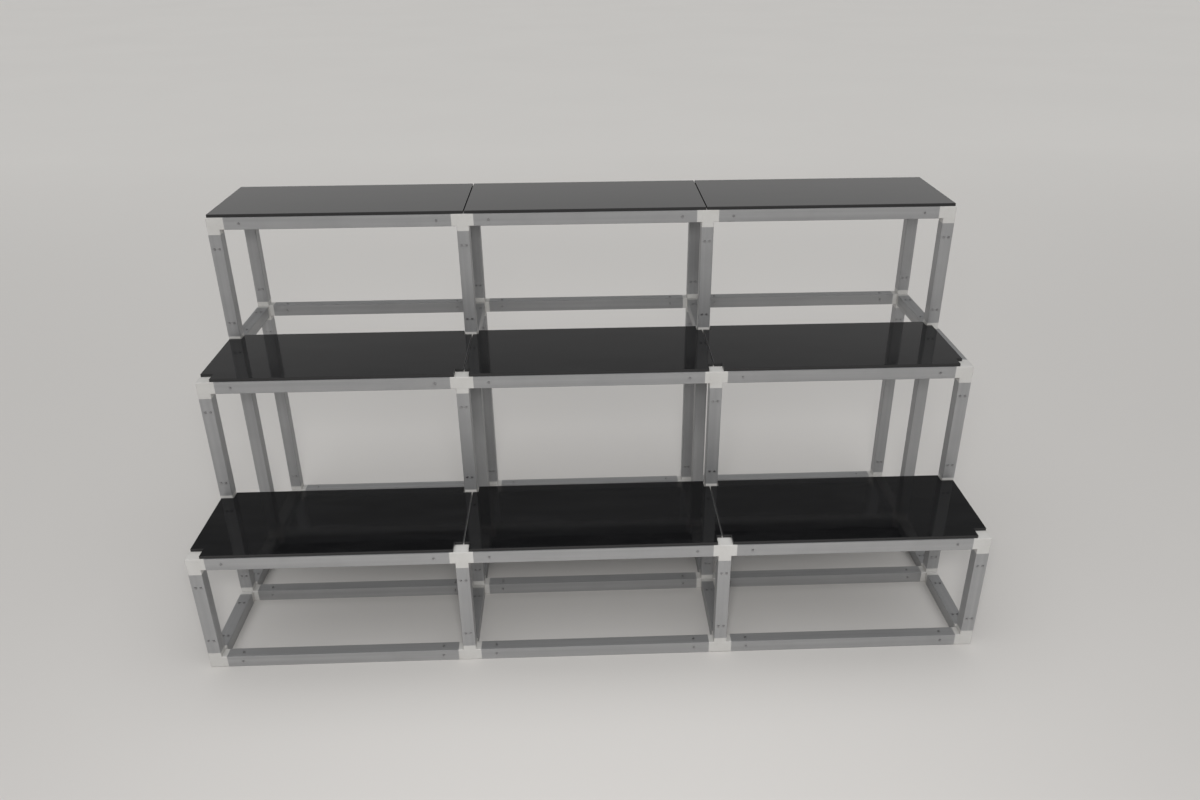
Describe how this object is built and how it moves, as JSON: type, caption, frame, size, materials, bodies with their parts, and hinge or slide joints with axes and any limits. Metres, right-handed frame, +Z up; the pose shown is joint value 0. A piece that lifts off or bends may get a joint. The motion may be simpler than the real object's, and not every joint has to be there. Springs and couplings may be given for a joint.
{
  "type": "stage riser",
  "caption": "Stepped stage riser: square aluminium tubes plugged onto white moulded corner connectors, with loose gloss black deck panels on each tier.",
  "frame": {"origin": "on the floor, under the middle of the riser's bounding box", "axes": "+X to the right of someone who faces the lowest tier, +Y from the lowest tier towards the highest, +Z up"},
  "size_m": [3.05, 1.328, 1.5873],
  "materials": {
    "aluminium_tube": "satin",
    "connector_plastic": "fine matte",
    "screw_steel": "satin",
    "deck_panel": "gloss"
  },
  "bodies": {
    "frame": {"cross_rail_screws": "screw_steel", "long_rail_screws": "screw_steel", "row1_floor_end_connectors": "connector_plastic", "row1_floor_middle_connectors": "connector_plastic", "row1_floor_rails": "aluminium_tube", "row1_tier1_end_connectors": "connector_plastic", "row1_tier1_middle_connectors": "connector_plastic", "row1_tier1_rails": "aluminium_tube", "row1_uprights": "aluminium_tube", "row2_floor_end_connectors": "connector_plastic", "row2_floor_middle_connectors": "connector_plastic", "row2_floor_rails": "aluminium_tube", "row2_lower_uprights": "aluminium_tube", "row2_tier1_end_connectors": "connector_plastic", "row2_tier1_middle_connectors": "connector_plastic", "row2_tier1_rails": "aluminium_tube", "row2_tier2_end_connectors": "connector_plastic", "row2_tier2_middle_connectors": "connector_plastic", "row2_tier2_rails": "aluminium_tube", "row2_upper_uprights": "aluminium_tube", "row3_floor_end_connectors": "connector_plastic", "row3_floor_middle_connectors": "connector_plastic", "row3_floor_rails": "aluminium_tube", "row3_long_uprights": "aluminium_tube", "row3_tier2_end_connectors": "connector_plastic", "row3_tier2_middle_connectors": "connector_plastic", "row3_tier2_rails": "aluminium_tube", "row3_tier3_end_connectors": "connector_plastic", "row3_tier3_middle_connectors": "connector_plastic", "row3_tier3_rails": "aluminium_tube", "row3_upper_uprights": "aluminium_tube", "row4_floor_end_connectors": "connector_plastic", "row4_floor_middle_connectors": "connector_plastic", "row4_floor_rails": "aluminium_tube", "row4_long_uprights": "aluminium_tube", "row4_tier2_end_connectors": "connector_plastic", "row4_tier2_middle_connectors": "connector_plastic", "row4_tier2_rails": "aluminium_tube", "row4_tier3_end_connectors": "connector_plastic", "row4_tier3_middle_connectors": "connector_plastic", "row4_tier3_rails": "aluminium_tube", "row4_upper_uprights": "aluminium_tube", "tier1_deck_cross_rails": "aluminium_tube", "tier1_floor_cross_rails": "aluminium_tube", "tier2_deck_cross_rails": "aluminium_tube", "tier2_floor_cross_rails": "aluminium_tube", "tier3_deck_cross_rails": "aluminium_tube", "tier3_floor_cross_rails": "aluminium_tube", "tier3_middle_cross_rails": "aluminium_tube", "upright_screws": "screw_steel"},
    "tier1_left_panel": {"tier1_left_panel": "deck_panel"},
    "tier1_middle_panel": {"tier1_middle_panel": "deck_panel"},
    "tier1_right_panel": {"tier1_right_panel": "deck_panel"},
    "tier2_left_panel": {"tier2_left_panel": "deck_panel"},
    "tier2_middle_panel": {"tier2_middle_panel": "deck_panel"},
    "tier2_right_panel": {"tier2_right_panel": "deck_panel"},
    "tier3_left_panel": {"tier3_left_panel": "deck_panel"},
    "tier3_middle_panel": {"tier3_middle_panel": "deck_panel"},
    "tier3_right_panel": {"tier3_right_panel": "deck_panel"}
  },
  "joints": [
    {"name": "tier1_left_lift", "type": "slide", "parent": "frame", "child": "tier1_left_panel", "axis": [0, 0, 1], "range_m": [0, 0.3]},
    {"name": "tier1_middle_lift", "type": "slide", "parent": "frame", "child": "tier1_middle_panel", "axis": [0, 0, 1], "range_m": [0, 0.3]},
    {"name": "tier1_right_lift", "type": "slide", "parent": "frame", "child": "tier1_right_panel", "axis": [0, 0, 1], "range_m": [0, 0.3]},
    {"name": "tier2_left_lift", "type": "slide", "parent": "frame", "child": "tier2_left_panel", "axis": [0, 0, 1], "range_m": [0, 0.3]},
    {"name": "tier2_middle_lift", "type": "slide", "parent": "frame", "child": "tier2_middle_panel", "axis": [0, 0, 1], "range_m": [0, 0.3]},
    {"name": "tier2_right_lift", "type": "slide", "parent": "frame", "child": "tier2_right_panel", "axis": [0, 0, 1], "range_m": [0, 0.3]},
    {"name": "tier3_left_lift", "type": "slide", "parent": "frame", "child": "tier3_left_panel", "axis": [0, 0, 1], "range_m": [0, 0.3]},
    {"name": "tier3_middle_lift", "type": "slide", "parent": "frame", "child": "tier3_middle_panel", "axis": [0, 0, 1], "range_m": [0, 0.3]},
    {"name": "tier3_right_lift", "type": "slide", "parent": "frame", "child": "tier3_right_panel", "axis": [0, 0, 1], "range_m": [0, 0.3]}
  ]
}
